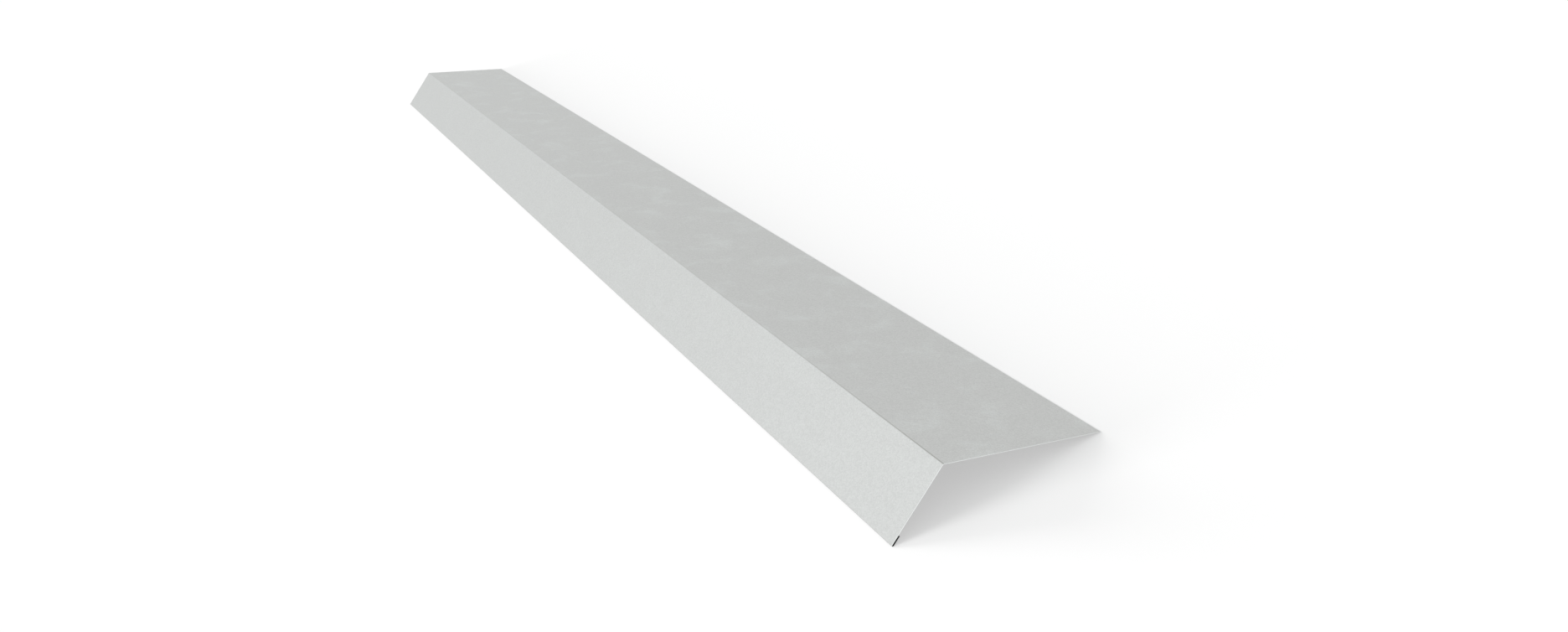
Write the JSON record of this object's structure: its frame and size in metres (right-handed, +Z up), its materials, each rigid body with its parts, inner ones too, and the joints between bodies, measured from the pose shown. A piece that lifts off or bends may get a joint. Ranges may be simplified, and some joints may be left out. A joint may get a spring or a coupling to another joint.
{
  "type": "eaves flashing",
  "caption": "Bent sheet-steel eaves flashing with a flat top flange, a sloping front flange and a folded drip hem, for the edge of a roof deck.",
  "frame": {"origin": "on the floor that the strip lies on, midway between its ends and midway across it", "axes": "+X along the strip, +Z up, the front flange and its hem towards -Y, the top flange's free edge towards +Y"},
  "size_m": [2, 0.2022, 0.0463],
  "materials": {
    "galvanised_steel": "satin hot-dip zinc with a fine spangle"
  },
  "bodies": {
    "root": {"eaves_flashing": "galvanised_steel"}
  },
  "joints": []
}
